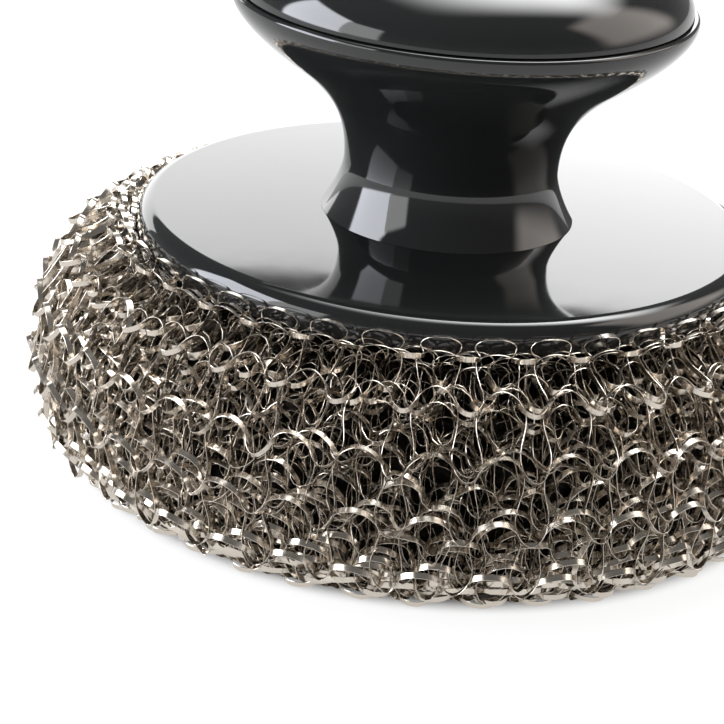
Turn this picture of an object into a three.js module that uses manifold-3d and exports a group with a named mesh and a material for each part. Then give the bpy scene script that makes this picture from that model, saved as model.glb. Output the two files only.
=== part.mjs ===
// Palm-held griddle scourer: a knitted steel pad clamped under a plastic disc and a mushroom knob.
// Millimetres, +Z up. The origin is under the middle of the pad, on the plane that the pad rests on.
import * as THREE from "three";
import { mergeVertices } from "three/addons/utils/BufferGeometryUtils.js";
import Module from "manifold-3d";

// Clearances
const SEAT_GAP = 0.1; // flat faces that are clamped together
const FIT_GAP = 0.3; // round the pieces that drop into a bore or a pocket
const SEAM_GAP = 0.35; // the parting line round the knob

// Knitted pad
const PAD_DIAMETER = 101.5; // over the loops, where the side is fullest
const PAD_HEIGHT = 27.5; // where the disc bears on it
const BELLY_HEIGHT = 14.2; // where the side is fullest
const SHOULDER_RADIUS = 43.4;
const SHOULDER_HEIGHT = 27.2;
const SHOULDER_FALL = 26; // slope of the shoulder, in degrees
const COLLAR_GAP = 0.9; // between the disc's rim and the knit that swells up beside it
const COLLAR_DROP = 1.6; // from the top of the disc down to the edge of that collar
const PAD_FACE_DIAMETER = 79; // the flat that rests on the griddle
const PAD_NIP = 16; // thickness left where the pad is clamped
const WALES = 40; // loops in one round
const COURSES = 4; // rounds between the disc and the heel
const COURSE_PITCH = 7.2;
const STEP_WALES = 8; // loops over which each round steps down to the next, at the back
const LOOP_HEIGHT = 10.6;
const LOOP_WAIST = 2.4; // how far a loop's legs lean over its neighbours'
const LOOP_SWING = 0.9; // how far the ribbon swings in and out through the next loop
const LOOP_STEPS = 8;
const RIBBON_WIDTH = 0.85;
const RIBBON_THICKNESS = 0.3;
const FOLD_DEPTH = 1.7; // from the crests to the valleys of the folds beneath
const FOLD_COVER = 0.45; // how much deeper the crests lie than the ribbon's own clearance
const RING_WIRE = 1.2; // diameter of the wire that gathers each end of the knit

// Disc
const DISC_DIAMETER = 75;
const DISC_THICKNESS = 4.2;
const DISC_EDGE_RADIUS = 2;
const DISC_WALL = 2.4;
const DISC_RIM_WIDTH = 3;
const RIB_COUNT = 8;
const RIB_WIDTH = 1.6;
const POST_DIAMETER = 14;
const KEY_DIAMETER = 20; // the boss that keys the knob to the disc
const KEY_FLATS = 16.5;
const KEY_HEIGHT = 3;

// Knob body, with heights above the disc
const FOOT_RADIUS = 15.35;
const FOOT_HOLLOW = 2.4; // how quickly the foot draws in
const NECK_RADIUS = 13;
const NECK_HEIGHT = 5.9;
const SWELL_RADIUS = 21; // where the flare turns from hollow to full
const SWELL_HEIGHT = 19;
const SWELL_ANGLE = 36;
const GRIP_RADIUS = 27.75;
const SEAM_HEIGHT = 26.9;
const GRIP_WALL = 2.6;
const FLOOR_THICKNESS = 3.5;
const SOCKET_RADIUS = 24.6;
const SOCKET_DEPTH = 3;

// Cap
const CAP_INSET = 0.7; // step in from the knob body at the parting line
const CAP_RISE = 10;
const CAP_WALL = 2.2;
const LUG_COUNT = 6;
const LUG_ANGLE = 34;
const LUG_WALL = 1.6;

// Screw, washer, nut and retainer
const SCREW_DIAMETER = 5;
const HEAD_DIAMETER = 9.5;
const HEAD_HEIGHT = 3.6;
const RECESS_WIDTH = 1.3;
const RECESS_LENGTH = 5.2;
const RECESS_DEPTH = 2.2;
const TIP_LENGTH = 1; // what shows below the nut
const WASHER_DIAMETER = 12;
const WASHER_THICKNESS = 1;
const NUT_FLATS = 8;
const NUT_HEIGHT = 4;
const RETAINER_DIAMETER = 34;
const RETAINER_THICKNESS = 3;
const BOSS_DIAMETER = 14;
const BOSS_HEIGHT = 3;

// Levels and radii that follow from the sizes above
const discTop = PAD_HEIGHT + DISC_THICKNESS;
const discCeiling = discTop - DISC_WALL;
const postEnd = PAD_HEIGHT - PAD_NIP;
const boreRadius = SCREW_DIAMETER / 2 + FIT_GAP;
const floorTop = discTop + KEY_HEIGHT + FIT_GAP + FLOOR_THICKNESS;
const seamZ = discTop + SEAM_HEIGHT;
const ledgeZ = seamZ - SOCKET_DEPTH;
const washerBase = floorTop + SEAT_GAP;
const headBase = washerBase + WASHER_THICKNESS + SEAT_GAP;
const retainerTop = postEnd - SEAT_GAP;
const bossEnd = retainerTop - RETAINER_THICKNESS - BOSS_HEIGHT;
const screwEnd = bossEnd - TIP_LENGTH;
const ringRadius = POST_DIAMETER / 2 + FIT_GAP + RING_WIRE / 2;
const knitDepth = 2 * LOOP_SWING + RIBBON_THICKNESS;

const wasm = await Module();
wasm.setup();

// A closed geometry as a solid, with its faces turned outwards.
function solid(geometry) {
  const bare = new THREE.BufferGeometry();
  const loose = geometry.index ? geometry.toNonIndexed() : geometry;
  bare.setAttribute("position", loose.getAttribute("position"));
  const merged = mergeVertices(bare, 1e-3);
  const p = merged.attributes.position.array;
  const index = merged.index.array;
  const faces = [];
  let volume = 0;
  for (let i = 0; i < index.length; i += 3) {
    const [a, b, c] = [index[i], index[i + 1], index[i + 2]];
    if (a === b || b === c || c === a) continue;
    faces.push([a, b, c]);
    const [u, v, w] = [a, b, c].map((k) => new THREE.Vector3().fromArray(p, 3 * k));
    volume += u.dot(v.cross(w));
  }
  const triVerts = new Uint32Array(faces.flatMap(([a, b, c]) => (volume < 0 ? [a, c, b] : [a, b, c])));
  return new wasm.Manifold(new wasm.Mesh({ numProp: 3, vertProperties: p, triVerts }));
}

function geometryOf(body) {
  const mesh = body.getMesh();
  const geometry = new THREE.BufferGeometry();
  geometry.setAttribute("position", new THREE.Float32BufferAttribute(mesh.vertProperties, 3));
  geometry.setIndex(new THREE.Uint32BufferAttribute(mesh.triVerts, 1));
  const flat = geometry.toNonIndexed();
  flat.computeVertexNormals();
  return flat;
}

// A profile of [radius, height] points turned round the Z axis.
function turned(profile, segments = 48) {
  const points = profile.map(([r, z]) => new THREE.Vector2(r, z));
  if (profile[0][0] > 0) points.push(points[0].clone());
  return solid(new THREE.LatheGeometry(points, segments).rotateX(Math.PI / 2));
}

// A flat outline made thick between two heights.
function slab(shape, low, high, curveSegments = 12) {
  const made = new THREE.ExtrudeGeometry(shape, { depth: high - low, bevelEnabled: false, curveSegments });
  return solid(made.translate(0, 0, low));
}

function block(x, y, z, cx, cy, cz, turn = 0) {
  return solid(new THREE.BoxGeometry(x, y, z).translate(cx, cy, cz).rotateZ(turn));
}

function hexagon(flats) {
  const corner = flats / Math.sqrt(3);
  const points = [0, 1, 2, 3, 4, 5].map((i) => {
    const a = (i * Math.PI) / 3;
    return new THREE.Vector2(corner * Math.cos(a), corner * Math.sin(a));
  });
  return new THREE.Shape(points);
}

// A round boss with two flats, which stops the knob from turning on the disc.
function keyOutline(gap) {
  const radius = KEY_DIAMETER / 2 + gap;
  const a = Math.asin((KEY_FLATS / 2 + gap) / radius);
  const shape = new THREE.Shape();
  shape.absarc(0, 0, radius, -a, a, false);
  shape.absarc(0, 0, radius, Math.PI - a, Math.PI + a, false);
  shape.closePath();
  return shape;
}

const part = new THREE.Group();
part.name = "griddle_brush";

const gloss = { color: 0x0b0b0c, roughness: 0.12, metalness: 0 };
const bright = { color: 0xc9c6c0, roughness: 0.28, metalness: 1 };
const shaded = { color: 0x4d453d, roughness: 0.5, metalness: 1 };
const dull = { color: 0x151515, roughness: 0.5, metalness: 0 };

function add(name, body, look) {
  const geometry = body.isBufferGeometry ? body : geometryOf(body);
  const mesh = new THREE.Mesh(geometry, new THREE.MeshStandardMaterial(look));
  mesh.name = name;
  part.add(mesh);
}

// Disc: a flat plate with a rounded rim, hollow and ribbed underneath.
// A post runs down through the pad, and a keyed boss on top goes up into the knob.
{
  const r = DISC_DIAMETER / 2;
  const rim = r - DISC_RIM_WIDTH;
  const post = POST_DIAMETER / 2;
  const edge = new THREE.EllipseCurve(
    r - DISC_EDGE_RADIUS, discTop - DISC_EDGE_RADIUS, DISC_EDGE_RADIUS, DISC_EDGE_RADIUS, 0, Math.PI / 2);
  let disc = turned([
    [0, postEnd],
    [post - 0.6, postEnd],
    [post, postEnd + 0.6],
    [post, discCeiling],
    [rim, discCeiling],
    [rim, PAD_HEIGHT],
    [r - 0.6, PAD_HEIGHT],
    [r, PAD_HEIGHT + 0.6],
    ...edge.getPoints(5).map((p) => [p.x, p.y]),
    [0, discTop],
  ]);
  for (let i = 0; i < RIB_COUNT; i++) {
    const long = rim - post + 1;
    const tall = discCeiling - PAD_HEIGHT;
    disc = disc.add(block(long, RIB_WIDTH, tall, (rim + post) / 2, 0, PAD_HEIGHT + tall / 2 + 0.3,
      (2 * Math.PI * (i + 0.5)) / RIB_COUNT));
  }
  const key = slab(keyOutline(0), discTop - 0.5, discTop + KEY_HEIGHT);
  const bore = turned([
    [0, postEnd - 1],
    [boreRadius, postEnd - 1],
    [boreRadius, discTop + KEY_HEIGHT + 1],
    [0, discTop + KEY_HEIGHT + 1],
  ], 24);
  add("base_disc", disc.add(key).subtract(bore), gloss);
}

// Knob body: one hollow moulding, flared from a waisted neck to a full rim.
// The screw's head bears on the floor in the neck, and the cap drops into the socket in the rim.
{
  const low = new THREE.QuadraticBezierCurve(
    new THREE.Vector2(FOOT_RADIUS, SEAT_GAP),
    new THREE.Vector2(NECK_RADIUS, FOOT_HOLLOW),
    new THREE.Vector2(NECK_RADIUS, NECK_HEIGHT));
  const lean = new THREE.Vector2(1, 0).rotateAround(new THREE.Vector2(), (SWELL_ANGLE * Math.PI) / 180);
  const swell = new THREE.Vector2(SWELL_RADIUS, SWELL_HEIGHT);
  const flare = new THREE.CubicBezierCurve(
    new THREE.Vector2(NECK_RADIUS, NECK_HEIGHT),
    new THREE.Vector2(NECK_RADIUS, (NECK_HEIGHT + SWELL_HEIGHT) / 2 + 0.4),
    swell.clone().addScaledVector(lean, -5.5),
    swell);
  const rimZ = SEAM_HEIGHT - 0.5;
  const belly = new THREE.CubicBezierCurve(
    swell,
    swell.clone().addScaledVector(lean, 3.5),
    new THREE.Vector2(GRIP_RADIUS, rimZ - 2.3),
    new THREE.Vector2(GRIP_RADIUS, rimZ));
  const upper = [...flare.getPoints(7), ...belly.getPoints(6).slice(1)];
  const outer = [...low.getPoints(4).slice(0, -1), ...upper].map((p) => [p.x, discTop + p.y]);
  // The inside follows the flare, one wall thickness in.
  const inner = [];
  for (const [curve, count] of [[flare, 5], [belly, 4]]) {
    for (let i = 0; i <= count; i++) {
      const p = curve.getPoint(i / count);
      const t = curve.getTangent(i / count);
      const z = discTop + p.y + t.x * GRIP_WALL;
      if (z > floorTop + 0.8 && z < ledgeZ - 0.4) inner.push([p.x - t.y * GRIP_WALL, z]);
    }
  }
  inner.sort((a, b) => a[1] - b[1]);
  const spread = inner.filter((p, i) => i === 0 || p[1] - inner[i - 1][1] > 0.3);
  const body = turned([
    ...outer,
    [GRIP_RADIUS - 0.5, seamZ],
    [SOCKET_RADIUS, seamZ],
    [SOCKET_RADIUS, ledgeZ],
    [Math.min(SOCKET_RADIUS - 0.5, spread.at(-1)[0] + 0.4), ledgeZ],
    ...spread.reverse(),
    [NECK_RADIUS - GRIP_WALL, floorTop],
    [boreRadius, floorTop],
    [boreRadius, discTop + SEAT_GAP],
  ]);
  add("grip_body", body.subtract(slab(keyOutline(FIT_GAP), discTop - 1, floorTop - FLOOR_THICKNESS)), gloss);
}

// Cap: a shallow dome, set in a little from the knob body, that plugs in on six lugs.
{
  const base = seamZ + SEAM_GAP;
  const r = GRIP_RADIUS - CAP_INSET;
  const dome = (radius, rise, from) => new THREE.EllipseCurve(0, base, radius, rise, from, Math.PI / 2);
  const inside = dome(r - CAP_WALL, CAP_RISE - CAP_WALL, 0).getPoints(6).reverse();
  const outside = dome(r, CAP_RISE, 0.05).getPoints(10);
  inside[0].x = 0;
  outside.at(-1).x = 0;
  let cap = turned([
    ...[...inside, new THREE.Vector2(r - 0.3, base), ...outside].map((p) => [p.x, p.y]),
  ]);
  const lugOut = SOCKET_RADIUS - FIT_GAP;
  const lugIn = lugOut - LUG_WALL;
  const riseAt = (radius, rise, x) => rise * Math.sqrt(Math.max(0.02, 1 - (x / radius) ** 2));
  const lugTop = base
    + (riseAt(r - CAP_WALL, CAP_RISE - CAP_WALL, lugIn) + riseAt(r, CAP_RISE, lugOut)) / 2;
  for (let i = 0; i < LUG_COUNT; i++) {
    const mid = (2 * Math.PI * (i + 0.3)) / LUG_COUNT;
    const half = (LUG_ANGLE * Math.PI) / 360;
    const lug = new THREE.Shape();
    lug.absarc(0, 0, lugOut, mid - half, mid + half, false);
    lug.absarc(0, 0, lugIn, mid + half, mid - half, true);
    lug.closePath();
    cap = cap.add(slab(lug, ledgeZ + FIT_GAP, lugTop, 4));
  }
  add("grip_cap", cap, gloss);
}

// Washer and pan-head screw: the head sits on the washer on the floor of the neck.
{
  const w = WASHER_DIAMETER / 2;
  add("screw_washer", turned([
    [boreRadius, washerBase],
    [w, washerBase],
    [w, washerBase + WASHER_THICKNESS],
    [boreRadius, washerBase + WASHER_THICKNESS],
  ], 24), bright);
  const head = HEAD_DIAMETER / 2;
  const shank = SCREW_DIAMETER / 2;
  const top = headBase + HEAD_HEIGHT;
  let screw = turned([
    [0, screwEnd],
    [shank - 0.7, screwEnd],
    [shank, screwEnd + 0.7],
    [shank, headBase],
    [head, headBase],
    [head, headBase + HEAD_HEIGHT * 0.45],
    [head * 0.88, headBase + HEAD_HEIGHT * 0.8],
    [head * 0.6, top],
    [0, top],
  ], 24);
  for (const turn of [0, Math.PI / 2]) {
    screw = screw.subtract(block(RECESS_LENGTH, RECESS_WIDTH, 2 * RECESS_DEPTH, 0, 0, top, turn));
  }
  add("clamp_screw", screw, bright);
}

// Retainer: a round plate under the middle of the pad, with the nut held in its boss.
{
  const r = RETAINER_DIAMETER / 2;
  const boss = BOSS_DIAMETER / 2;
  const under = retainerTop - RETAINER_THICKNESS;
  const plate = turned([
    [boreRadius, bossEnd],
    [boss, bossEnd],
    [boss, under],
    [r - 1, under],
    [r, under + 1],
    [r, retainerTop - 0.8],
    [r - 0.8, retainerTop],
    [boreRadius, retainerTop],
  ], 36);
  const pocket = slab(hexagon(NUT_FLATS + 2 * FIT_GAP), bossEnd - 1, bossEnd + NUT_HEIGHT + SEAT_GAP);
  add("retainer_plate", plate.subtract(pocket), dull);
  const hole = new THREE.Path();
  hole.absarc(0, 0, boreRadius, 0, 2 * Math.PI, true);
  const nut = hexagon(NUT_FLATS);
  nut.holes.push(hole);
  add("clamp_nut", slab(nut, bossEnd, bossEnd + NUT_HEIGHT), bright);
}

// The middle of the outer fold, from the collar beside the disc's rim, out over the shoulder,
// down the full side and round the heel to the flat.
const side = new THREE.CurvePath();
{
  const at = (r, z) => new THREE.Vector2(r, z);
  const belly = PAD_DIAMETER / 2 - knitDepth / 2;
  const face = PAD_FACE_DIAMETER / 2;
  const shoulder = at(SHOULDER_RADIUS, SHOULDER_HEIGHT);
  const slope = at(1, 0).rotateAround(at(0, 0), (-SHOULDER_FALL * Math.PI) / 180);
  side.add(new THREE.QuadraticBezierCurve(
    at(DISC_DIAMETER / 2 + COLLAR_GAP, discTop - COLLAR_DROP),
    shoulder.clone().addScaledVector(slope, -4),
    shoulder));
  side.add(new THREE.CubicBezierCurve(
    shoulder,
    shoulder.clone().addScaledVector(slope, 4),
    at(belly, BELLY_HEIGHT + 7),
    at(belly, BELLY_HEIGHT)));
  side.add(new THREE.CubicBezierCurve(
    at(belly, BELLY_HEIGHT),
    at(belly, BELLY_HEIGHT - 9.2),
    at(face + 7, 0),
    at(face, 0)));
}
const sideLength = side.getLength();

// A place that far down the side, some way out from it, and the outward direction there.
function onSide(distance, out = 0) {
  const share = THREE.MathUtils.clamp(distance / sideLength, 0, 1);
  const along = side.getTangentAt(share);
  const outward = new THREE.Vector2(-along.y, along.x);
  return { at: side.getPointAt(share).addScaledVector(outward, out), outward };
}

// Inner folds: the same knit turned in on itself, packed into one springy ring under the outer fold.
// Its rounds make crests behind the ends of the outer loops and valleys behind their legs.
// Wire rings gather its two ends round the post.
{
  const segments = 48;
  const crest = RIBBON_THICKNESS / 2 + FIT_GAP + FOLD_COVER;
  const flush = knitDepth / 2 + FIT_GAP;
  const lap = LOOP_HEIGHT - COURSE_PITCH;
  const bore = ringRadius + RING_WIRE / 2 + FIT_GAP;
  const pocket = RETAINER_DIAMETER / 2 + FIT_GAP;
  const rim = DISC_DIAMETER / 2;
  const profile = (stepping) => {
    const folds = [];
    for (let i = 0; i <= 2 * COURSES; i++) {
      const depth = stepping ? flush : crest + (i % 2) * FOLD_DEPTH;
      folds.push(onSide(lap / 2 + (i * COURSE_PITCH) / 2, -depth).at);
    }
    const heel = onSide(lap / 2 + (COURSES + 0.5) * COURSE_PITCH, -crest / 2).at;
    return [
      [bore, PAD_HEIGHT - SEAT_GAP],
      [rim - 1.2, PAD_HEIGHT - SEAT_GAP],
      [rim + 0.4, PAD_HEIGHT - 2 * FIT_GAP],
      ...[...folds, heel].map((p) => [p.x, p.y]),
      [PAD_FACE_DIAMETER / 2, 0],
      [pocket, 0],
      [pocket, retainerTop + FIT_GAP],
      [bore, retainerTop + FIT_GAP],
    ];
  };
  // The crests are pressed flat at the back, where the rounds of the outer fold step down.
  const corners = [];
  const faces = [];
  const count = profile(false).length;
  for (let i = 0; i < segments; i++) {
    const angle = (2 * Math.PI * i) / segments;
    const fromBack = Math.abs(THREE.MathUtils.euclideanModulo(angle + Math.PI / 2, 2 * Math.PI) - Math.PI);
    const stepping = fromBack < (Math.PI * STEP_WALES) / WALES;
    for (const [r, z] of profile(stepping)) {
      corners.push(new THREE.Vector3(r * Math.cos(angle), r * Math.sin(angle), z));
    }
    const next = ((i + 1) % segments) * count;
    for (let k = 0; k < count; k++) {
      const [a, b] = [i * count + k, i * count + ((k + 1) % count)];
      const [c, d] = [next + k, next + ((k + 1) % count)];
      faces.push(a, b, c, b, d, c);
    }
  }
  add("pad_core", solid(new THREE.BufferGeometry().setFromPoints(corners).setIndex(faces)), shaded);
  const ring = () => new THREE.TorusGeometry(ringRadius, RING_WIRE / 2, 6, 28);
  add("gather_ring_upper", solid(ring().translate(0, 0, PAD_HEIGHT - 2.5)), bright);
  add("gather_ring_lower", solid(ring().translate(0, 0, postEnd + 2)), bright);
}

// Outer fold: flat ribbon in interlocked loops, knitted round and round without a break.
// Each loop's head and feet lie on the outside and its legs swing in, so the rows hook into each other.
{
  const across = (2 * Math.PI) / WALES;
  function strand(loops) {
    const t = 2 * Math.PI * loops;
    const round = Math.floor(loops / WALES + 1e-9);
    const step = THREE.MathUtils.smoothstep(loops - round * WALES, WALES - STEP_WALES, WALES);
    const down = COURSE_PITCH * (round + step) + (LOOP_HEIGHT / 2) * (1 + Math.cos(t));
    const leaned = (LOOP_WAIST * Math.sin(2 * t)) / (PAD_DIAMETER / 2);
    const angle = Math.PI / 2 + across * (loops + STEP_WALES / 2) + leaned;
    const { at, outward } = onSide(down, LOOP_SWING * Math.cos(2 * t));
    const turn = (p) => new THREE.Vector3(p.x * Math.cos(angle), p.x * Math.sin(angle), p.y);
    return { at: turn(at), out: turn(outward) };
  }
  const steps = (WALES * COURSES - STEP_WALES) * LOOP_STEPS;
  const corners = [];
  for (let i = 0; i <= steps; i++) {
    const loops = (i + 0.5) / LOOP_STEPS;
    const { at, out } = strand(loops);
    const ahead = strand(loops + 0.04).at.sub(strand(loops - 0.04).at).normalize();
    const wide = ahead.clone().cross(out).normalize().multiplyScalar(RIBBON_WIDTH / 2);
    const thick = wide.clone().cross(ahead).normalize().multiplyScalar(RIBBON_THICKNESS / 2);
    corners.push(
      at.clone().add(thick),
      at.clone().add(wide).sub(thick),
      at.clone().sub(wide).sub(thick));
  }
  const faces = [0, 1, 2];
  for (let i = 0; i < steps; i++) {
    for (let k = 0; k < 3; k++) {
      const [a, b] = [3 * i + k, 3 * i + ((k + 1) % 3)];
      faces.push(a, a + 3, b, b, a + 3, b + 3);
    }
  }
  faces.push(3 * steps, 3 * steps + 2, 3 * steps + 1);
  add("knit_sleeve", solid(new THREE.BufferGeometry().setFromPoints(corners).setIndex(faces)), bright);
}

export default part;
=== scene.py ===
import math

import bmesh
import bpy
from mathutils import Matrix, Vector


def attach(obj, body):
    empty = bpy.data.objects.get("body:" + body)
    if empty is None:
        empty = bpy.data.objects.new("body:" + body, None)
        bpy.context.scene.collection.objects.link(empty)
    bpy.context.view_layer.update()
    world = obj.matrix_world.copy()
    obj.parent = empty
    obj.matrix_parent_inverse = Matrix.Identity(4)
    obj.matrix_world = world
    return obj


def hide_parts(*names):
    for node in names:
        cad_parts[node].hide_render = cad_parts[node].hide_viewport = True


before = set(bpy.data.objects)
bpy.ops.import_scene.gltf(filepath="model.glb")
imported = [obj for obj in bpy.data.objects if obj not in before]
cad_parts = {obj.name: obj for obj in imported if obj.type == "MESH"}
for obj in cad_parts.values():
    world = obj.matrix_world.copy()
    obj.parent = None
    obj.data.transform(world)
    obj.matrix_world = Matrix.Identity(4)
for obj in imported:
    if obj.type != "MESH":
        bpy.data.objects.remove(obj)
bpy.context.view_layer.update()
scene = bpy.context.scene
scene.view_settings.view_transform = "Standard"


# Base disc: a flat round plate of injection-moulded ABS, with a rounded rim and eight ribs underneath.
# Its post runs down through the pad, and the flats on the boss above stop the knob from turning.
DISC_TOP = 31.7
DISC_UNDER = 27.5
DISC_CEILING = 29.3
POST_END = 11.5
RIB_COUNT = 8
EDGE_ANGLE = 40


def linear(colour):
    """An sRGB hex colour as the linear values that a shader takes."""
    parts = [int(colour[i:i + 2], 16) / 255 for i in (1, 3, 5)]
    return tuple(c / 12.92 if c <= 0.04045 else ((c + 0.055) / 1.055) ** 2.4 for c in parts) + (1.0,)


def node(tree, kind, inputs=None, **settings):
    """A new node with its settings, and its inputs set to values or linked from sockets."""
    made = tree.nodes.new(kind)
    for key, value in settings.items():
        setattr(made, key, value)
    for key, value in (inputs or {}).items():
        if isinstance(value, bpy.types.NodeSocket):
            tree.links.new(value, made.inputs[key])
        else:
            made.inputs[key].default_value = value
    return made


def arc(centre, radii, start, end, steps):
    """Points along an ellipse between two angles in degrees."""
    angles = [math.radians(start + (end - start) * i / steps) for i in range(steps + 1)]
    return [(centre[0] + radii[0] * math.cos(a), centre[1] + radii[1] * math.sin(a)) for a in angles]


def turned(profile, segments=192):
    """The shell of a profile of (radius, height) points turned round the Z axis."""
    vertices = []
    rows = []
    for r, z in profile:
        if r < 1e-6:
            rows.append([len(vertices)] * segments)
            vertices.append((0, 0, z))
        else:
            rows.append(range(len(vertices), len(vertices) + segments))
            angles = [2 * math.pi * i / segments for i in range(segments)]
            vertices += [(r * math.cos(a), r * math.sin(a), z) for a in angles]
    if profile[0][0] > 1e-6:
        rows.append(rows[0])
    faces = []
    for low, high in zip(rows, rows[1:]):
        for i in range(segments):
            j = (i + 1) % segments
            face = list(dict.fromkeys([low[i], low[j], high[j], high[i]]))
            if len(face) > 2:
                faces.append(face)
    return vertices, faces


def prism(outline, low, high):
    """The shell of a flat outline made thick between two heights."""
    count = len(outline)
    vertices = [(x, y, z) for z in (low, high) for x, y in outline]
    sides = [[i, (i + 1) % count, count + (i + 1) % count, count + i] for i in range(count)]
    return vertices, [list(range(count)), list(range(count, 2 * count)), *sides]


def moulded(name, *shells):
    """One piece in metres made of closed shells in millimetres, smooth except at its edges."""
    vertices = []
    faces = []
    for points, sides in shells:
        faces += [[len(vertices) + k for k in side] for side in sides]
        vertices += [(x / 1000, y / 1000, z / 1000) for x, y, z in points]
    mesh = bpy.data.meshes.new(name)
    mesh.from_pydata(vertices, [], faces)
    shape = bmesh.new()
    shape.from_mesh(mesh)
    bmesh.ops.recalc_face_normals(shape, faces=shape.faces)
    shape.to_mesh(mesh)
    shape.free()
    mesh.shade_smooth()
    mesh.set_sharp_from_angle(angle=math.radians(EDGE_ANGLE))
    piece = bpy.data.objects.new(name, mesh)
    scene.collection.objects.link(piece)
    return piece


def settle(piece, tree, sizes, sharp=EDGE_ANGLE):
    """Puts a node tree's result in a piece as a plain mesh, with the tree's named inputs set first."""
    modifier = piece.modifiers.new("made", "NODES")
    modifier.node_group = tree
    sockets = {item.name: item.identifier for item in tree.interface.items_tree if item.in_out == "INPUT"}
    for name, value in sizes.items():
        modifier[sockets[name]] = value
    bpy.context.view_layer.update()
    mesh = bpy.data.meshes.new_from_object(piece.evaluated_get(bpy.context.evaluated_depsgraph_get()))
    piece.modifiers.remove(modifier)
    piece.data = mesh
    mesh.name = piece.name
    mesh.shade_smooth()
    mesh.set_sharp_from_angle(angle=math.radians(sharp))


# Copies of a small shape set evenly round the axis and joined to the piece that carries them.
round_the_axis = bpy.data.node_groups.new("round_the_axis", "GeometryNodeTree")
for name, kind in {"Geometry": "Geometry", "Count": "Int", "First Angle": "Float",
                   "Shape": "Object", "Material": "Material"}.items():
    round_the_axis.interface.new_socket(name, in_out="INPUT", socket_type="NodeSocket" + kind)
round_the_axis.interface.new_socket("Geometry", in_out="OUTPUT", socket_type="NodeSocketGeometry")
given = round_the_axis.nodes.new("NodeGroupInput").outputs
share = node(round_the_axis, "ShaderNodeMath", {
    0: node(round_the_axis, "GeometryNodeInputIndex").outputs[0], 1: given["Count"]}, operation="DIVIDE")
angle = node(round_the_axis, "ShaderNodeMath", {
    0: share.outputs[0], 1: 2 * math.pi, 2: given["First Angle"]}, operation="MULTIPLY_ADD")
copies = node(round_the_axis, "GeometryNodeInstanceOnPoints", {
    "Points": node(round_the_axis, "GeometryNodeMeshLine", {
        "Count": given["Count"], "Offset": (0, 0, 0)}).outputs[0],
    "Instance": node(round_the_axis, "GeometryNodeObjectInfo", {
        "Object": given["Shape"]}).outputs["Geometry"],
    "Rotation": node(round_the_axis, "ShaderNodeCombineXYZ", {"Z": angle.outputs[0]}).outputs[0]})
both = node(round_the_axis, "GeometryNodeJoinGeometry", {"Geometry": given["Geometry"]})
round_the_axis.links.new(copies.outputs[0], both.inputs[0])
made = node(round_the_axis, "GeometryNodeRealizeInstances", {"Geometry": both.outputs[0]})
made = node(round_the_axis, "GeometryNodeSetMaterial", {
    "Geometry": made.outputs[0], "Material": given["Material"]})
node(round_the_axis, "NodeGroupOutput", {"Geometry": made.outputs[0]})

# Gloss black ABS from a polished mould: mirror-like reflections, with a faint haze from handling
# some 10 mm across, and the slow waviness of a thick moulding that cooled unevenly.
gloss = bpy.data.materials.new("gloss_black_abs")
gloss.use_nodes = True
tree = gloss.node_tree
surface = tree.nodes["Principled BSDF"]
surface.inputs["Base Color"].default_value = linear("#191a1a")
surface.inputs["IOR"].default_value = 1.54
place = node(tree, "ShaderNodeTexCoord").outputs["Object"]
haze = node(tree, "ShaderNodeTexNoise", {"Vector": place, "Scale": 90.0, "Detail": 6.0, "Roughness": 0.65})
rough = node(tree, "ShaderNodeMapRange", {
    "Value": haze.outputs["Fac"], "From Min": 0.35, "From Max": 0.75, "To Min": 0.04, "To Max": 0.09})
tree.links.new(rough.outputs["Result"], surface.inputs["Roughness"])
flow = node(tree, "ShaderNodeTexNoise", {"Vector": place, "Scale": 55.0, "Detail": 2.0})
ripple = node(tree, "ShaderNodeBump", {"Height": flow.outputs["Fac"], "Strength": 0.05, "Distance": 0.0004})
tree.links.new(ripple.outputs["Normal"], surface.inputs["Normal"])

plate = turned([
    (2.8, POST_END), (6.4, POST_END), (7.0, POST_END + 0.6),
    (7.0, DISC_CEILING), (34.5, DISC_CEILING), (34.5, DISC_UNDER),
    *arc((36.6, DISC_UNDER + 0.9), (0.9, 0.9), -90, 0, 6),
    *arc((35.5, DISC_TOP - 2.0), (2.0, 2.0), 0, 90, 14),
    (2.8, DISC_TOP),
])
key = prism(arc((0, 0), (10, 10), -55.6, 55.6, 24) + arc((0, 0), (10, 10), 124.4, 235.6, 24),
            DISC_TOP - 0.5, DISC_TOP + 3.0)
rib = moulded("disc_rib", prism([(6.5, -0.8), (35.0, -0.8), (35.0, 0.8), (6.5, 0.8)],
                                DISC_UNDER + 0.3, DISC_CEILING + 0.3))
disc = moulded("base_disc_plate", plate, key)
settle(disc, round_the_axis, {
    "Count": RIB_COUNT, "First Angle": math.pi / RIB_COUNT, "Shape": rib, "Material": gloss})
bpy.data.objects.remove(rib)
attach(disc, "handle")
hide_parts("base_disc")


# Inner folds: the knitted sleeve turned in on itself again and again, packed in a springy ring round
# the post. A dark solid stands in for them, painted with the shadow and the odd glint that show from
# outside, and its rounds leave soft valleys.
COLLAR = [(39.2, 30.7), (40.2, 29.2), (43.4, 27.2)]
SHOULDER = [(43.4, 27.2), (47.0, 25.45), (49.7, 21.2), (49.7, 14.2)]
HEEL = [(49.7, 14.2), (49.7, 5.0), (46.5, 0.45), (39.5, 0.45)]
COURSE_PITCH = 7.2
FOLD_DEPTH = 4.6
FOLD_CREST = 0.7
FIRST_CREST = 1.7
FOLDS_FROM = 4.5
FOLDS_TO = 26.4


def bezier(points, steps):
    """Points along a curve given by its end points and handles."""
    order = len(points) - 1
    made = []
    for i in range(steps + 1):
        t = i / steps
        weights = [math.comb(order, k) * t ** k * (1 - t) ** (order - k) for k in range(order + 1)]
        made.append(tuple(sum(w * p[axis] for w, p in zip(weights, points)) for axis in (0, 1)))
    return made


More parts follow.
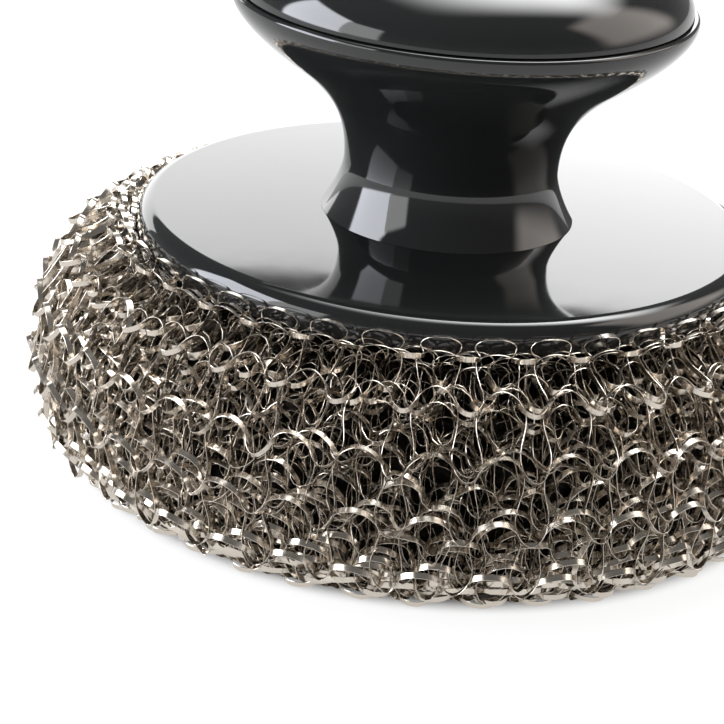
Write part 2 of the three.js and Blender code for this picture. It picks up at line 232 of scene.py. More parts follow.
pad_side = bezier(COLLAR, 10)[:-1] + bezier(SHOULDER, 20)[:-1] + bezier(HEEL, 24)
folds = []
down = 0.0
for (r0, z0), (r, z), (r1, z1) in zip(pad_side, pad_side[1:], pad_side[2:]):
    down += math.hypot(r - r0, z - z0)
    along = math.hypot(r1 - r0, z1 - z0)
    crest = FOLD_CREST * math.cos(2 * math.pi * (down - FIRST_CREST) / COURSE_PITCH)
    depth = FOLD_DEPTH - crest
    spot = (r + (z1 - z0) / along * depth, z - (r1 - r0) / along * depth)
    if FOLDS_FROM < spot[1] < FOLDS_TO:
        folds.append(spot)

# Steel ribbon deep in the pad, as painted shade: nearly black, with brown depths of painted shade and
# painted grey glints a millimetre across.
painted_shade = bpy.data.materials.new("steel_ribbon_in_shadow")
painted_shade.use_nodes = True
tree = painted_shade.node_tree
surface = tree.nodes["Principled BSDF"]
surface.inputs["Specular IOR Level"].default_value = 0.05
surface.inputs["Roughness"].default_value = 0.6
place = node(tree, "ShaderNodeTexCoord").outputs["Object"]
painted_glints = node(tree, "ShaderNodeTexNoise", {"Vector": place, "Scale": 900.0, "Detail": 2.0})
# Painted shade and painted glints: the noise sets dark brown and dim grey into the base colour.
shade = node(tree, "ShaderNodeValToRGB", {"Fac": painted_glints.outputs["Fac"]})
shade.color_ramp.elements[0].position = 0.45
shade.color_ramp.elements[0].color = linear("#0a0806")
shade.color_ramp.elements[1].position = 0.75
shade.color_ramp.elements[1].color = linear("#2a2520")
tree.links.new(shade.outputs["Color"], surface.inputs["Base Color"])

core = moulded("pad_folds", turned([
    (8.8, 26.8), (34.0, 26.8), *folds, (42.8, 2.6), (42.2, 1.3),
    (18.6, 1.3), (17.6, 3.0), (17.3, 11.7), (8.8, 11.7),
]))
# The folds' surface carries the painted shade and painted glints of the pad's inside.
core.data.materials.append(painted_shade)
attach(core, "pad")
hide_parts("pad_core")


# Knit: flattened stainless wire in interlocked loops, one strand knitted round and round for each fold.
# The wire stands on edge in the legs of a loop and leans over at its head and foot. The outer fold is
# the neatest, and the folds under it pack closer together towards the underside. Sizes are in metres.
LAYERS = 11
WALES = 40
OUTER_STEPS = 32
OUTER_INSET = 0.0003
OUTER_START = -0.0079
OUTER_ROOF = 0.0474
OUTER_SPREAD = 0.0006
OUTER_TANGLE = 0.0010
OUTER_PHASE = 0.68 * math.pi
FOLD_STEPS = 20
FOLD_INSET = 0.0010
FOLD_SPACING = 0.0004
FOLD_START = -0.006
FOLD_ROOF = 0.0455
FOLD_SHIFT = 0.62
LOOSER = 0.0008
LOOSEST_SPREAD = 0.0026
LOOSEST_TANGLE = 0.003
RIBBON_EDGE = 36

# Stainless ribbon, rolled flat: bright and warm grey, with fine dents about a millimetre apart
# where it was bent round the needles, and a polish that varies over a millimetre or two.
steel = bpy.data.materials.new("stainless_ribbon")
steel.use_nodes = True
tree = steel.node_tree
surface = tree.nodes["Principled BSDF"]
surface.inputs["Metallic"].default_value = 1.0
surface.inputs["Base Color"].default_value = linear("#c8c0b5")
place = node(tree, "ShaderNodeTexCoord").outputs["Object"]
grain = node(tree, "ShaderNodeTexNoise", {"Vector": place, "Scale": 700.0, "Detail": 3.0})
rough = node(tree, "ShaderNodeMapRange", {
    "Value": grain.outputs["Fac"], "From Min": 0.3, "From Max": 0.7, "To Min": 0.15, "To Max": 0.3})
tree.links.new(rough.outputs["Result"], surface.inputs["Roughness"])
creases = node(tree, "ShaderNodeTexNoise", {"Vector": place, "Scale": 1100.0, "Detail": 2.0})
dents = node(tree, "ShaderNodeBump", {
    "Height": creases.outputs["Fac"], "Strength": 0.18, "Distance": 0.0002})
tree.links.new(dents.outputs["Normal"], surface.inputs["Normal"])


def knit_tree():
    """Interlocked loops of flat wire over the pad's rounded side, as one strand wound round and round."""
    tree = bpy.data.node_groups.new("knitted_layer", "GeometryNodeTree")
    tree.interface.new_socket("Geometry", in_out="OUTPUT", socket_type="NodeSocketGeometry")
    sizes = {
        "Wales": ("Int", WALES), "Courses": ("Int", 9), "Steps": ("Int", OUTER_STEPS), "Seed": ("Int", 1),
        "Inset": ("Float", OUTER_INSET), "Start": ("Float", OUTER_START),
        "Phase": ("Float", OUTER_PHASE), "Pitch": ("Float", COURSE_PITCH / 1000),
        "Loop Height": ("Float", 0.0102), "Waist": ("Float", 0.14), "Head": ("Float", 0.08),
        "Flow": ("Float", -0.015), "Swing": ("Float", 0.0007), "Packing": ("Float", 0.12),
        "Short Share": ("Float", 0.26), "Short Start": ("Float", 0.001998), "Short Ease": ("Float", 0.001),
        "Heel": ("Float", 0.022), "Heel End": ("Float", 0.031), "Underside": ("Float", 0.046),
        "Loop Spread": ("Float", OUTER_SPREAD), "Tangle": ("Float", OUTER_TANGLE),
        "Foot Lay": ("Float", -0.6), "Head Lay": ("Float", 0.56), "Lay Spread": ("Float", 1.5),
        "Keep Off": ("Float", 0.0382), "Roof": ("Float", OUTER_ROOF), "Roof Slope": ("Float", -0.43),
        "Roof Tilt X": ("Float", -0.012), "Roof Tilt Y": ("Float", -0.045), "Roof Ease": ("Float", 0.002),
        "Lowest": ("Float", 0.00045), "Width": ("Float", 0.00072), "Thickness": ("Float", 0.000075),
        "Outline": ("Object", None), "Material": ("Material", None),
    }
    for name, (kind, value) in sizes.items():
        socket = tree.interface.new_socket(name, in_out="INPUT", socket_type="NodeSocket" + kind)
        if value is not None:
            socket.default_value = value
    given = tree.nodes.new("NodeGroupInput").outputs
    maths, vectors, turning = "ShaderNodeMath", "ShaderNodeVectorMath", "ShaderNodeVectorRotate"

    # Which loop each point of the strand belongs to, and its round. Each round steps down to the next
    # in its last fifth.
    count = node(tree, maths, {0: given["Wales"], 1: given["Courses"]}, operation="MULTIPLY").outputs[0]
    count = node(tree, maths, {0: count, 1: given["Steps"]}, operation="MULTIPLY").outputs[0]
    strand = node(tree, "GeometryNodeMeshLine", {"Count": count}).outputs[0]
    strand = node(tree, "GeometryNodeMeshToCurve", {"Mesh": strand}).outputs[0]
    index = node(tree, "GeometryNodeInputIndex").outputs[0]
    loops = node(tree, maths, {0: index, 1: given["Steps"]}, operation="DIVIDE").outputs[0]
    rounds = node(tree, maths, {0: loops, 1: given["Wales"]}, operation="DIVIDE").outputs[0]
    course = node(tree, maths, {0: rounds}, operation="FLOOR").outputs[0]
    rest = node(tree, maths, {0: rounds}, operation="FRACT").outputs[0]
    step = node(tree, "ShaderNodeMapRange", {
        "Value": rest, "From Min": 0.8}, interpolation_type="SMOOTHSTEP")
    course = node(tree, maths, {0: course, 1: step.outputs["Result"]}, operation="ADD").outputs[0]

    def uneven(offset):
        """A value from about -0.5 to 0.5 that drifts from loop to loop."""
        place = node(tree, maths, {0: given["Seed"], 1: 731.7, 2: offset}, operation="MULTIPLY_ADD")
        place = node(tree, maths, {0: loops, 1: place.outputs[0]}, operation="ADD").outputs[0]
        drift = node(tree, "ShaderNodeTexNoise", {
            "W": place, "Scale": 0.83, "Detail": 1.0}, noise_dimensions="1D")
        return node(tree, maths, {0: drift.outputs["Fac"], 1: 0.5}, operation="SUBTRACT").outputs[0]

    # A loop: a narrow foot below, two long legs, and a wide head above. The ends lie in front of the
    # legs, and the loops beside the disc are drawn up short.
    once = node(tree, maths, {0: loops, 1: 2 * math.pi}, operation="MULTIPLY").outputs[0]
    twice = node(tree, maths, {0: loops, 1: 4 * math.pi}, operation="MULTIPLY").outputs[0]
    wave = node(tree, maths, {0: once}, operation="COSINE").outputs[0]
    sway = node(tree, maths, {0: once}, operation="SINE").outputs[0]
    waist = node(tree, maths, {0: twice}, operation="SINE").outputs[0]
    swing = node(tree, maths, {0: twice}, operation="COSINE").outputs[0]
    half = node(tree, maths, {0: given["Loop Height"], 1: 0.5}, operation="MULTIPLY").outputs[0]
    down = node(tree, maths, {
        0: course, 1: given["Pitch"], 2: given["Start"]}, operation="MULTIPLY_ADD").outputs[0]
    down = node(tree, maths, {0: wave, 1: half, 2: down}, operation="MULTIPLY_ADD").outputs[0]
    down = node(tree, maths, {0: half, 1: down}, operation="ADD").outputs[0]
    down = node(tree, maths, {
        0: uneven(0.0), 1: given["Loop Spread"], 2: down}, operation="MULTIPLY_ADD").outputs[0]
    short = node(tree, maths, {
        0: down, 1: given["Short Share"], 2: given["Short Start"]}, operation="MULTIPLY_ADD").outputs[0]
    down = node(tree, maths, {
        0: down, 1: short, 2: given["Short Ease"]}, operation="SMOOTH_MAX").outputs[0]
    lean = node(tree, maths, {0: waist, 1: given["Waist"], 2: loops}, operation="MULTIPLY_ADD").outputs[0]
    sway = node(tree, maths, {0: sway, 1: given["Head"]}, operation="MULTIPLY").outputs[0]
    lean = node(tree, maths, {0: lean, 1: sway}, operation="SUBTRACT").outputs[0]
    flow = node(tree, maths, {0: loops, 1: 8 * math.pi}, operation="MULTIPLY").outputs[0]
    flow = node(tree, maths, {0: flow}, operation="SINE").outputs[0]
    lean = node(tree, maths, {0: flow, 1: given["Flow"], 2: lean}, operation="MULTIPLY_ADD").outputs[0]
    aside = node(tree, maths, {0: given["Loop Spread"], 1: 120.0}, operation="MULTIPLY").outputs[0]
    lean = node(tree, maths, {0: uneven(97.3), 1: aside, 2: lean}, operation="MULTIPLY_ADD").outputs[0]
    wale = node(tree, maths, {0: 2 * math.pi, 1: given["Wales"]}, operation="DIVIDE").outputs[0]
    angle = node(tree, maths, {0: lean, 1: wale, 2: given["Phase"]}, operation="MULTIPLY_ADD").outputs[0]
    depth = node(tree, maths, {0: swing, 1: given["Swing"]}, operation="MULTIPLY").outputs[0]
    inward = node(tree, maths, {0: given["Loop Spread"], 1: 0.5}, operation="MULTIPLY").outputs[0]
    depth = node(tree, maths, {0: uneven(211.9), 1: inward, 2: depth}, operation="MULTIPLY_ADD").outputs[0]
    squeeze = node(tree, "ShaderNodeMapRange", {
        "Value": down, "From Min": given["Heel"], "From Max": given["Underside"],
        "To Min": 1.0, "To Max": given["Packing"]}, interpolation_type="SMOOTHSTEP").outputs["Result"]
    inset = node(tree, maths, {0: given["Inset"], 1: squeeze}, operation="MULTIPLY").outputs[0]
    depth = node(tree, maths, {0: depth, 1: inset}, operation="SUBTRACT").outputs[0]

    # How far the wire leans from standing on edge: one way at the foot, the other at the head, more so
    # where the heel is pressed, and with a random twist.
    foot = node(tree, maths, {0: wave, 1: 0.0}, operation="MAXIMUM").outputs[0]
    foot = node(tree, maths, {0: foot, 1: 1.6}, operation="POWER").outputs[0]
    head = node(tree, maths, {0: wave, 1: 0.0}, operation="MINIMUM").outputs[0]
    head = node(tree, maths, {0: head}, operation="ABSOLUTE").outputs[0]
    head = node(tree, maths, {0: head, 1: 1.3}, operation="POWER").outputs[0]
    pressed = node(tree, "ShaderNodeMapRange", {
        "Value": down, "From Min": given["Heel"], "From Max": given["Heel End"],
        "To Min": 1.0, "To Max": 1.25}, interpolation_type="SMOOTHSTEP").outputs["Result"]
    head = node(tree, maths, {0: head, 1: pressed}, operation="MULTIPLY").outputs[0]
    lay = node(tree, maths, {0: foot, 1: given["Foot Lay"]}, operation="MULTIPLY").outputs[0]
    lay = node(tree, maths, {0: head, 1: given["Head Lay"], 2: lay}, operation="MULTIPLY_ADD").outputs[0]
    twist = node(tree, maths, {0: uneven(389.1), 1: 2.0}, operation="MULTIPLY").outputs[0]
    twist = node(tree, maths, {0: twist, 1: 3.0}, operation="POWER").outputs[0]
    lay = node(tree, maths, {0: twist, 1: given["Lay Spread"], 2: lay}, operation="MULTIPLY_ADD").outputs[0]

    # The loop's place on the pad's side, and the way that the side faces there.
    outline = node(tree, "GeometryNodeObjectInfo", {"Object": given["Outline"]}).outputs["Geometry"]
    sample = node(tree, "GeometryNodeSampleCurve", {
        "Curves": outline, "Length": down}, mode="LENGTH").outputs
    way = node(tree, "ShaderNodeSeparateXYZ", {"Vector": sample["Tangent"]}).outputs
    level = node(tree, maths, {0: way["Z"], 1: -1.0}, operation="MULTIPLY").outputs[0]
    outward = node(tree, "ShaderNodeCombineXYZ", {"X": level, "Z": way["X"]}).outputs[0]
    out = node(tree, vectors, {0: outward, 3: depth}, operation="SCALE").outputs[0]
    spot = node(tree, vectors, {0: sample["Position"], 1: out}, operation="ADD").outputs[0]
    spot = node(tree, turning, {"Vector": spot, "Angle": angle}, rotation_type="Z_AXIS").outputs[0]
    facing = node(tree, turning, {"Vector": outward, "Angle": angle}, rotation_type="Z_AXIS").outputs[0]

    # Handling pulls the loops about, but not out past the fold's own surface, and less beside the disc.
    seed = node(tree, "ShaderNodeCombineXYZ", {"X": given["Seed"]}).outputs[0]
    seed = node(tree, vectors, {0: spot, 1: seed}, operation="ADD").outputs[0]
    noise = node(tree, "ShaderNodeTexNoise", {
        "Vector": seed, "Scale": 120.0, "Detail": 1.0}).outputs["Color"]
    pull = node(tree, vectors, {0: noise, 1: (0.5, 0.5, 0.5)}, operation="SUBTRACT").outputs[0]
    free = node(tree, "ShaderNodeMapRange", {
        "Value": down, "From Min": 0.0, "From Max": 0.006, "To Min": 0.3}, interpolation_type="SMOOTHSTEP")
    free = node(tree, maths, {
        0: free.outputs["Result"], 1: given["Tangle"]}, operation="MULTIPLY").outputs[0]
    pull = node(tree, vectors, {0: pull, 3: free}, operation="SCALE").outputs[0]
    proud = node(tree, vectors, {0: pull, 1: facing}, operation="DOT_PRODUCT").outputs["Value"]
    proud = node(tree, maths, {0: proud, 1: given["Inset"]}, operation="SUBTRACT").outputs[0]
    proud = node(tree, maths, {0: proud, 1: 0.0}, operation="MAXIMUM").outputs[0]
    proud = node(tree, maths, {0: proud, 1: -1.0}, operation="MULTIPLY").outputs[0]
    proud = node(tree, vectors, {0: facing, 3: proud}, operation="SCALE").outputs[0]
    spot = node(tree, vectors, {0: spot, 1: pull}, operation="ADD").outputs[0]
    spot = node(tree, vectors, {0: spot, 1: proud}, operation="ADD").outputs[0]

    # Clear of the disc's rim, under a roof that slopes out and down from it, and no lower than the griddle.
    # The roof tilts a little, so that the collar stands higher at the front than behind.
    at = node(tree, "ShaderNodeSeparateXYZ", {"Vector": spot}).outputs
    flat = node(tree, vectors, {0: spot, 1: (1, 1, 0)}, operation="MULTIPLY").outputs[0]
    reach = node(tree, vectors, {0: flat}, operation="LENGTH").outputs["Value"]
    beside = node(tree, "ShaderNodeMapRange", {"Value": at["Z"], "From Min": 0.0255, "From Max": 0.0265})
    least = node(tree, maths, {
        0: beside.outputs["Result"], 1: given["Keep Off"]}, operation="MULTIPLY").outputs[0]
    least = node(tree, maths, {0: least, 1: reach}, operation="MAXIMUM").outputs[0]
    push = node(tree, maths, {0: least, 1: reach}, operation="DIVIDE").outputs[0]
    flat = node(tree, vectors, {0: flat, 3: push}, operation="SCALE").outputs[0]
    roof = node(tree, maths, {
        0: least, 1: given["Roof Slope"], 2: given["Roof"]}, operation="MULTIPLY_ADD").outputs[0]
    roof = node(tree, maths, {
        0: at["Y"], 1: given["Roof Tilt Y"], 2: roof}, operation="MULTIPLY_ADD").outputs[0]
    roof = node(tree, maths, {
        0: at["X"], 1: given["Roof Tilt X"], 2: roof}, operation="MULTIPLY_ADD").outputs[0]
    height = node(tree, maths, {
        0: at["Z"], 1: roof, 2: given["Roof Ease"]}, operation="SMOOTH_MIN").outputs[0]
    height = node(tree, maths, {0: height, 1: given["Lowest"]}, operation="MAXIMUM").outputs[0]
    height = node(tree, "ShaderNodeCombineXYZ", {"Z": height}).outputs[0]
    spot = node(tree, vectors, {0: flat, 1: height}, operation="ADD").outputs[0]
    strand = node(tree, "GeometryNodeStoreNamedAttribute", {
        "Geometry": strand, "Name": "facing", "Value": facing}, data_type="FLOAT_VECTOR").outputs[0]
    strand = node(tree, "GeometryNodeStoreNamedAttribute", {
        "Geometry": strand, "Name": "lay", "Value": lay}, data_type="FLOAT").outputs[0]
    strand = node(tree, "GeometryNodeSetPosition", {"Geometry": strand, "Position": spot}).outputs[0]

    # The wire's flat section, its width square to the fold where it stands on edge, with its corners
    # broken so that a thin line of light runs along each edge.
    tangent = node(tree, "GeometryNodeInputTangent").outputs[0]
    facing = node(tree, "GeometryNodeInputNamedAttribute", {
        "Name": "facing"}, data_type="FLOAT_VECTOR").outputs[0]
    lay = node(tree, "GeometryNodeInputNamedAttribute", {"Name": "lay"}, data_type="FLOAT").outputs[0]
    wide = node(tree, turning, {
        "Vector": facing, "Axis": tangent, "Angle": lay}, rotation_type="AXIS_ANGLE").outputs[0]
    strand = node(tree, "GeometryNodeSetCurveNormal", {
        "Curve": strand, "Normal": wide}, mode="FREE").outputs[0]
    section = node(tree, "GeometryNodeCurvePrimitiveQuadrilateral", {
        "Width": given["Width"], "Height": given["Thickness"]}).outputs[0]
    edge = node(tree, maths, {0: given["Thickness"], 1: 0.45}, operation="MULTIPLY").outputs[0]
    section = node(tree, "GeometryNodeFilletCurve", {
        "Curve": section, "Count": 1, "Radius": edge}, mode="POLY").outputs[0]
    made = node(tree, "GeometryNodeCurveToMesh", {
        "Curve": strand, "Profile Curve": section, "Fill Caps": True}).outputs[0]
    made = node(tree, "GeometryNodeRealizeInstances", {"Geometry": made}).outputs[0]
    made = node(tree, "GeometryNodeSetMaterial", {
        "Geometry": made, "Material": given["Material"]}).outputs[0]
    node(tree, "NodeGroupOutput", {"Geometry": made})
    return tree


knitted = knit_tree()
side = bpy.data.curves.new("pad_side", "CURVE")
side.dimensions = "3D"
spline = side.splines.new("POLY")
route = pad_side + [(18.2, 0.45)]
spline.points.add(len(route) - 1)
for point, (r, z) in zip(spline.points, route):
    point.co = (r / 1000, 0, z / 1000, 1)
side = bpy.data.objects.new("pad_side", side)
scene.collection.objects.link(side)
for i in range(LAYERS):
    shift = i * FOLD_SHIFT % 1
    name = "knit_outer" if i == 0 else f"knit_fold_{i + 1}"
    layer = bpy.data.objects.new(name, bpy.data.meshes.new(name))
    scene.collection.objects.link(layer)
    settle(layer, knitted, {
        "Outline": side,
        "Material": steel,
        "Seed": i + 1,
        "Inset": FOLD_INSET + FOLD_SPACING * i if i else OUTER_INSET,
        "Start": FOLD_START + COURSE_PITCH / 1000 * shift if i else OUTER_START,
        "Phase": OUTER_PHASE + 0.9 * shift,
        "Wales": WALES + i % 9,
        "Steps": FOLD_STEPS if i else OUTER_STEPS,
        "Roof": FOLD_ROOF if i else OUTER_ROOF,
        "Loop Spread": min(OUTER_SPREAD + LOOSER * i, LOOSEST_SPREAD),
        "Tangle": min(OUTER_TANGLE + LOOSER * i, LOOSEST_TANGLE),
    }, sharp=RIBBON_EDGE)
    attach(layer, "pad")
    if i == 0:
        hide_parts("knit_sleeve")
bpy.data.objects.remove(side)


# Gather rings, washer, screw and nut: wire and fasteners of zinc-plated steel, hidden in the pad and
# the knob. The rings draw the two ends of the knit in round the post, and the screw clamps the stack.

# Bright zinc plating: soft grey, with a cloudy bloom about 3 mm across that dulls its shine in places.
plated = bpy.data.materials.new("zinc_plated_steel")
plated.use_nodes = True
tree = plated.node_tree
surface = tree.nodes["Principled BSDF"]
surface.inputs["Metallic"].default_value = 1.0
place = node(tree, "ShaderNodeTexCoord").outputs["Object"]
bloom = node(tree, "ShaderNodeTexNoise", {"Vector": place, "Scale": 350.0, "Detail": 4.0}).outputs["Fac"]
tint = node(tree, "ShaderNodeValToRGB", {"Fac": bloom})
tint.color_ramp.elements[0].position = 0.3
tint.color_ramp.elements[0].color = linear("#a9a7a2")
tint.color_ramp.elements[1].position = 0.7
tint.color_ramp.elements[1].color = linear("#c4c2bc")
tree.links.new(tint.outputs["Color"], surface.inputs["Base Color"])
rough = node(tree, "ShaderNodeMapRange", {"Value": bloom, "To Min": 0.2, "To Max": 0.42})
tree.links.new(rough.outputs["Result"], surface.inputs["Roughness"])
for name in ("gather_ring_upper", "gather_ring_lower", "screw_washer", "clamp_screw", "clamp_nut"):
    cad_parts[name].data.materials.clear()
    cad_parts[name].data.materials.append(plated)


# Retainer: a round plate of black nylon under the middle of the pad, with the nut in its boss.
# It is moulded in one piece and holds the pad up against the disc.

# Satin nylon from a spark-eroded mould: a soft even sheen over fine pits 0.4 mm across.
satin = bpy.data.materials.new("satin_black_nylon")
satin.use_nodes = True
tree = satin.node_tree
surface = tree.nodes["Principled BSDF"]
surface.inputs["Base Color"].default_value = linear("#171717")
surface.inputs["IOR"].default_value = 1.53
place = node(tree, "ShaderNodeTexCoord").outputs["Object"]
grain = node(tree, "ShaderNodeTexNoise", {"Vector": place, "Scale": 2500.0, "Detail": 2.0}).outputs["Fac"]
rough = node(tree, "ShaderNodeMapRange", {"Value": grain, "To Min": 0.36, "To Max": 0.52})
tree.links.new(rough.outputs["Result"], surface.inputs["Roughness"])
pits = node(tree, "ShaderNodeBump", {"Height": grain, "Strength": 0.3, "Distance": 0.0001})
tree.links.new(pits.outputs["Normal"], surface.inputs["Normal"])
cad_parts["retainer_plate"].data.materials.clear()
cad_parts["retainer_plate"].data.materials.append(satin)


# Knob body and neck: one hollow moulding of the same gloss black ABS, waisted to fit between the
# fingers. Its foot stands on the disc, and the clamp screw pulls it down from inside.
FOOT = [(15.35, 0.03), (14.0, 2.2), (13.0, 4.7), (13.0, 6.3)]
FLARE = [(13.0, 6.3), (13.0, 12.9), (16.55, 15.767), (21.0, 19.0)]
BELLY = [(21.0, 19.0), (23.83, 21.057), (27.75, 24.1), (27.75, 26.4)]
INSIDE = [(10.4, 8.0), (10.4, 11.5), (14.0, 17.5), (23.2, 23.9)]
profile = [
    *bezier(FOOT, 16)[:-1], *bezier(FLARE, 28)[:-1], *bezier(BELLY, 22),
    *arc((27.35, 26.5), (0.4, 0.4), 15, 90, 5),
    (24.6, 26.9), (24.6, 23.9), *bezier(INSIDE, 16)[::-1], (10.4, 6.8),
    (2.8, 6.8), (2.8, 3.3), (10.3, 3.3), (10.3, 0.03),
]
body = moulded("grip_body_shell", turned([(r, DISC_TOP + z) for r, z in profile]))
body.data.materials.append(gloss)
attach(body, "handle")
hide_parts("grip_body")


# Knob cap: a shallow dome of the same plastic, set in a little from the body below.
# It plugs into the rim of the knob body on six lugs and leaves a fine parting line.
CAP_BASE = 58.7
CAP_TOP = 68.95
CAP_RISE = CAP_TOP - CAP_BASE
CAP_RADIUS = 27.05
CAP_WALL = 2.2
LUG_COUNT = 6
LUG_ANGLE = 34
FIRST_LUG = 18
dome = turned([
    *arc((0, CAP_BASE), (CAP_RADIUS - CAP_WALL, CAP_RISE - CAP_WALL), 90, 0, 24),
    *arc((0, CAP_BASE), (CAP_RADIUS, CAP_RISE), 0.5, 90, 48),
])
lug = moulded("cap_lug", prism(
    arc((0, 0), (24.3, 24.3), -LUG_ANGLE / 2, LUG_ANGLE / 2, 12)
    + arc((0, 0), (22.7, 22.7), LUG_ANGLE / 2, -LUG_ANGLE / 2, 12), 55.9, 62.6))
cap = moulded("grip_cap_shell", dome)
settle(cap, round_the_axis, {
    "Count": LUG_COUNT, "First Angle": math.radians(FIRST_LUG), "Shape": lug, "Material": gloss})
bpy.data.objects.remove(lug)
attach(cap, "cap")
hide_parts("grip_cap")


# Camera: it stands in front and a little above, rolled slightly, with the knob's top out of the picture.
# The middle of the disc's top falls up and to the right of the picture's middle.
ELEVATION = math.radians(19.0)
ROLL = math.radians(5.07)
DISTANCE = 0.3179
FOCAL_PIXELS = 2600
PICTURE = 724
SENSOR = 36
AIM = (446.6 - PICTURE / 2, PICTURE / 2 - 210.2)
forward = Vector((0, math.cos(ELEVATION), -math.sin(ELEVATION)))
level = Vector((1, 0, 0))
upright = level.cross(forward)
right = math.cos(ROLL) * level + math.sin(ROLL) * upright
upwards = math.cos(ROLL) * upright - math.sin(ROLL) * level
straight = Matrix((right, upwards, -forward)).transposed().to_quaternion()
offset = Vector((AIM[0] / FOCAL_PIXELS, AIM[1] / FOCAL_PIXELS, -1))
camera = bpy.data.objects.new("camera", bpy.data.cameras.new("camera"))
camera.data.sensor_width = SENSOR
camera.data.lens = SENSOR * FOCAL_PIXELS / PICTURE
camera.data.clip_start = 0.01
camera.rotation_mode = "QUATERNION"
camera.rotation_quaternion = straight @ offset.rotation_difference(Vector((0, 0, -1)))
camera.location = Vector((0, 0, DISC_TOP / 1000)) - DISTANCE * forward
scene.collection.objects.link(camera)
scene.camera = camera


# Studio: a white sweep that glossy surfaces see too, two white panels behind, soft boxes at the sides
# and one overhead. The front is left dark, so that the plastic stays black towards the viewer.
SHADOW_FROM = 0.0405
SHADOW_TO = 0.0452


def card(name, corners, material):
    """A flat panel between four corners, with its own map from corner to corner."""
    mesh = bpy.data.meshes.new(name)
    mesh.from_pydata(corners, [], [(0, 1, 2, 3)])
    across = mesh.uv_layers.new(name="panel")
    for corner, place in zip(across.uv, ((0, 0), (1, 0), (1, 1), (0, 1))):
        corner.vector = place
    mesh.materials.append(material)
    made = bpy.data.objects.new(name, mesh)
    scene.collection.objects.link(made)
    return made


def soft_box(name, corners, strength, colour="#ffffff", soft=0.3):
    """A light panel, full in the middle and fading out towards its edges, that the camera doesn't see."""
    material = bpy.data.materials.new(name)
    material.use_nodes = True
    tree = material.node_tree
    tree.nodes.clear()
    corner = node(tree, "ShaderNodeTexCoord").outputs["UV"]
    across = node(tree, "ShaderNodeVectorMath", {0: corner, 1: (0.5, 0.5, 0.0)}, operation="SUBTRACT")
    across = node(tree, "ShaderNodeVectorMath", {0: across.outputs[0]}, operation="ABSOLUTE")
    away = node(tree, "ShaderNodeSeparateXYZ", {"Vector": across.outputs[0]}).outputs
    level = 1.0
    for axis in ("X", "Y"):
        fade = node(tree, "ShaderNodeMapRange", {
            "Value": away[axis], "From Min": 0.5, "From Max": 0.5 - soft}, interpolation_type="SMOOTHSTEP")
        level = node(tree, "ShaderNodeMath", {
            0: fade.outputs["Result"], 1: level}, operation="MULTIPLY").outputs[0]
    light = node(tree, "ShaderNodeEmission", {"Color": linear(colour), "Strength": strength}).outputs[0]
    clear = node(tree, "ShaderNodeBsdfTransparent").outputs[0]
    light = node(tree, "ShaderNodeMixShader", {0: level, 1: clear, 2: light}).outputs[0]
    node(tree, "ShaderNodeOutputMaterial", {"Surface": light})
    card(name, corners, material).visible_camera = False


world = bpy.data.worlds.new("studio")
scene.world = world
world.use_nodes = True
tree = world.node_tree
tree.nodes.clear()
path = node(tree, "ShaderNodeLightPath").outputs
seen = node(tree, "ShaderNodeMath", {
    0: path["Is Camera Ray"], 1: path["Is Transmission Ray"]}, operation="MAXIMUM")
up = node(tree, "ShaderNodeSeparateXYZ", {"Vector": node(tree, "ShaderNodeTexCoord").outputs["Generated"]})
dusk = node(tree, "ShaderNodeMapRange", {
    "Value": up.outputs["Z"], "From Max": 0.45, "To Min": 0.3, "To Max": 0.18},
    interpolation_type="SMOOTHSTEP")
level = node(tree, "ShaderNodeMapRange", {
    "Value": seen.outputs[0], "To Min": dusk.outputs["Result"], "To Max": 1.0})
sky = node(tree, "ShaderNodeBackground", {"Color": linear("#ffffff"), "Strength": level.outputs["Result"]})
node(tree, "ShaderNodeOutputWorld", {"Surface": sky.outputs[0]})

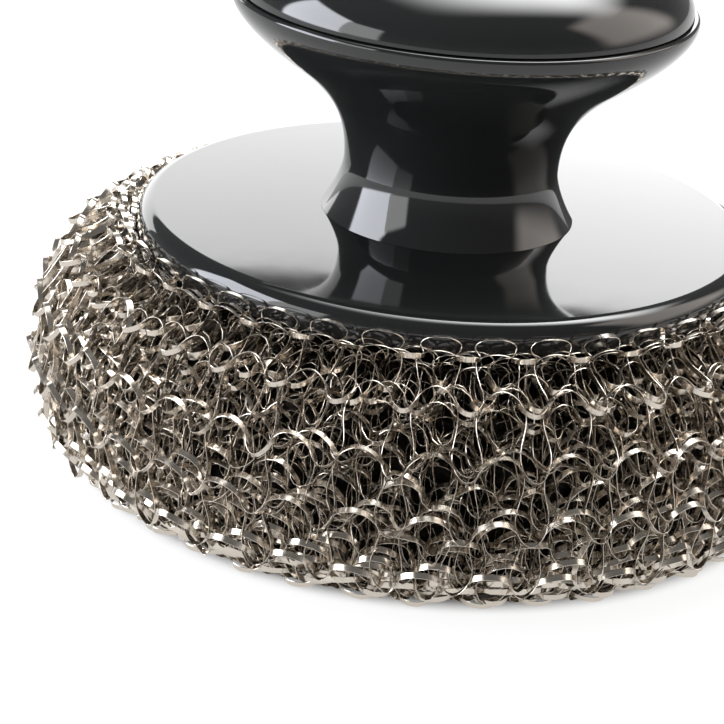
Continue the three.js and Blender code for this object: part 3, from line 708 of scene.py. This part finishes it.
# White paper, matt, with a glow of its own that keeps it white up to the thin shadow under the pad.
sweep = bpy.data.materials.new("white_sweep")
sweep.use_nodes = True
tree = sweep.node_tree
tree.nodes.clear()
path = node(tree, "ShaderNodeLightPath").outputs
seen = node(tree, "ShaderNodeMath", {
    0: path["Is Camera Ray"], 1: path["Is Transmission Ray"]}, operation="MAXIMUM")
seen = node(tree, "ShaderNodeMath", {0: seen.outputs[0], 1: path["Is Glossy Ray"]}, operation="MAXIMUM")
paper = node(tree, "ShaderNodeBsdfDiffuse", {"Color": linear("#ededed")})
glow = node(tree, "ShaderNodeEmission", {"Strength": 1.08})
place = node(tree, "ShaderNodeTexCoord").outputs["Object"]
away = node(tree, "ShaderNodeVectorMath", {0: place}, operation="LENGTH")
clear = node(tree, "ShaderNodeMapRange", {
    "Value": away.outputs["Value"], "From Min": SHADOW_FROM, "From Max": SHADOW_TO, "To Max": 0.85},
    interpolation_type="SMOOTHSTEP")
lift = node(tree, "ShaderNodeMath", {0: seen.outputs[0], 1: clear.outputs["Result"]}, operation="MULTIPLY")
both = node(tree, "ShaderNodeMixShader", {0: lift.outputs[0], 1: paper.outputs[0], 2: glow.outputs[0]})
node(tree, "ShaderNodeOutputMaterial", {"Surface": both.outputs[0]})
card("floor", [(-3, -3, 0), (3, -3, 0), (3, 3, 0), (-3, 3, 0)], sweep)

soft_box("back_left", [
    (-1.3, 1.2, 0), (0.05, 1.2, 0), (0.05, 1.2, 0.552), (-1.3, 1.2, 0.552)], 3.4, soft=0.01)
soft_box("back_right", [
    (0, 1.19, 0), (0.28, 1.19, 0), (0.28, 1.19, 0.566), (0, 1.19, 0.566)], 4.2, soft=0.01)
soft_box("left_box", [
    (-1.0, 0.16, 0), (-0.84, -0.53, 0), (-0.84, -0.53, 0.65), (-1.0, 0.16, 0.95)], 11.0, "#f4f7ff", 0.08)
soft_box("left_edge", [
    (-0.9, -0.4, 0), (-0.64, -0.8, 0), (-0.64, -0.8, 0.6), (-0.9, -0.4, 0.65)], 4.0, soft=0.12)
soft_box("right_box", [
    (0.74, 0.67, 0), (0.93, -0.37, 0), (0.93, -0.37, 1.4), (0.74, 0.67, 1.4)], 2.9, "#fff6ee", 0.25)
soft_box("top_box", [
    (-0.22, -0.34, 0.9), (0.98, 0.24, 0.9), (0.62, 1.08, 0.9), (-0.58, 0.5, 0.9)], 14.0, soft=0.45)
